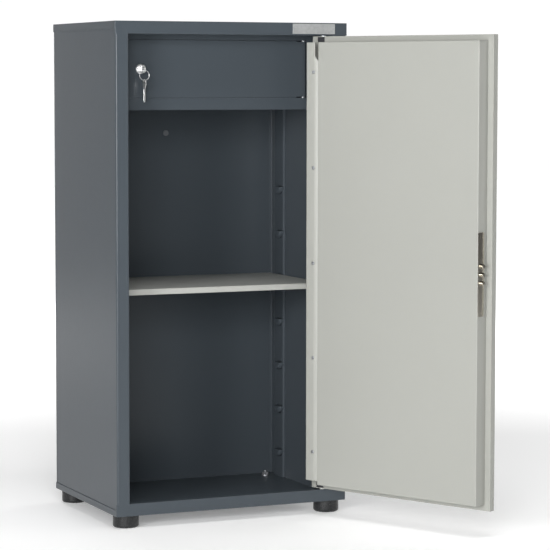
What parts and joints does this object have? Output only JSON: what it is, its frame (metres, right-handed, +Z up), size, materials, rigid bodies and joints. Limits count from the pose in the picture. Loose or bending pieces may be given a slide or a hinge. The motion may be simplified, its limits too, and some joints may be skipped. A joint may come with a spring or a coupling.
{
  "type": "office cabinet",
  "caption": "Free-standing steel office cabinet on round feet, with one lockable hinged door, an inner lockable treasury box with a key lock, and a lift-out shelf.",
  "frame": {"origin": "centre of the cabinet's 500 by 370 mm footprint, on the floor under the feet", "axes": "+X to the cabinet's right as seen from its front, +Y from the front to the back, +Z up"},
  "size_m": [0.643, 0.7478, 1],
  "materials": {
    "body_paint": "graphite grey powder coat, satin, fine orange peel",
    "door_paint": "light grey powder coat, satin",
    "shelf_paint": "light grey powder coat, satin",
    "zinc_steel": "zinc plated, semi-bright",
    "lock_steel": "nickel plated, satin",
    "chrome": "bright nickel and chrome plate",
    "plate_metal": "satin anodised, blank",
    "foot_plastic": "black moulded plastic",
    "bush_plastic": "natural nylon",
    "plug_plastic": "dark grey moulded plastic"
  },
  "bodies": {
    "cabinet": {"side_panel_left": "body_paint", "side_panel_right": "body_paint", "top_cover": "body_paint", "base_pan": "body_paint", "back_panel": "body_paint", "wall_anchor_plug": "plug_plastic", "nameplate": "plate_metal", "nameplate_rivets": "zinc_steel", "pivot_bush_top": "bush_plastic", "pivot_bush_bottom": "bush_plastic", "foot_studs": "zinc_steel", "foot_washers": "zinc_steel", "foot_nuts": "zinc_steel", "treasury_front_frame": "body_paint", "treasury_floor": "body_paint", "foot_front_left": "foot_plastic", "foot_front_right": "foot_plastic", "foot_rear_left": "foot_plastic", "foot_rear_right": "foot_plastic", "shelf_upright_front_left": "body_paint", "shelf_upright_front_right": "body_paint", "shelf_upright_rear_left": "body_paint", "shelf_upright_rear_right": "body_paint"},
    "main_door": {"door_skin": "door_paint", "door_inner_box": "door_paint", "door_hinge_strip": "door_paint", "hinge_strip_screws": "zinc_steel", "pivot_block_top": "zinc_steel", "pivot_block_bottom": "zinc_steel", "pivot_pin_top": "zinc_steel", "pivot_pin_bottom": "zinc_steel", "lock_face_plate": "lock_steel", "face_plate_screws": "lock_steel", "lock_case": "zinc_steel", "keyhole_escutcheon": "lock_steel", "cover_rivet": "zinc_steel"},
    "main_lock_bolts": {"lock_bolts": "lock_steel", "bolt_carrier": "zinc_steel"},
    "keyhole_cover": {"keyhole_cover": "lock_steel"},
    "treasury_door": {"treasury_door_panel": "body_paint", "treasury_hinge_pins": "zinc_steel", "cam_lock_housing": "chrome", "cam_lock_nut": "chrome"},
    "cam_lock": {"cam_lock_plug": "chrome", "lock_cam": "chrome", "cam_screw": "chrome", "inserted_key": "chrome"},
    "key_ring": {"key_ring": "chrome"},
    "spare_key": {"spare_key": "chrome"},
    "shelf": {"shelf": "shelf_paint"}
  },
  "joints": [
    {"name": "main_door_hinge", "type": "hinge", "parent": "cabinet", "child": "main_door", "pos_m": [0.2, -0.179, 0.513], "axis": [0, 0, 1], "range_deg": [-116.6, 28.4]},
    {"name": "main_lock_throw", "type": "slide", "parent": "main_door", "child": "main_lock_bolts", "axis": [-0.4478, 0.8942, 0], "range_m": [-0.017, 0]},
    {"name": "keyhole_cover_swing", "type": "hinge", "parent": "main_door", "child": "keyhole_cover", "pos_m": [0.3696, -0.49892, 0.53], "axis": [0.8942, 0.4478, 0], "range_deg": [-90, 90]},
    {"name": "treasury_door_hinge", "type": "hinge", "parent": "cabinet", "child": "treasury_door", "pos_m": [0.191, -0.101, 0.90725], "axis": [0, 0, 1], "range_deg": [0, 62]},
    {"name": "cam_lock_turn", "type": "hinge", "parent": "treasury_door", "child": "cam_lock", "pos_m": [-0.1668, -0.097, 0.9069], "axis": [0, -1, 0], "range_deg": [-90, 0]},
    {"name": "key_ring_swing", "type": "hinge", "parent": "cam_lock", "child": "key_ring", "pos_m": [-0.1668, -0.128, 0.90425], "axis": [-1, 0, 0], "range_deg": [-8, 60]},
    {"name": "spare_key_swing", "type": "hinge", "parent": "key_ring", "child": "spare_key", "pos_m": [-0.1668, -0.128, 0.88425], "axis": [-1, 0, 0], "range_deg": [-8, 45]},
    {"name": "shelf_lift", "type": "slide", "parent": "cabinet", "child": "shelf", "axis": [0, 0, 1], "range_m": [0, 0.06]}
  ]
}
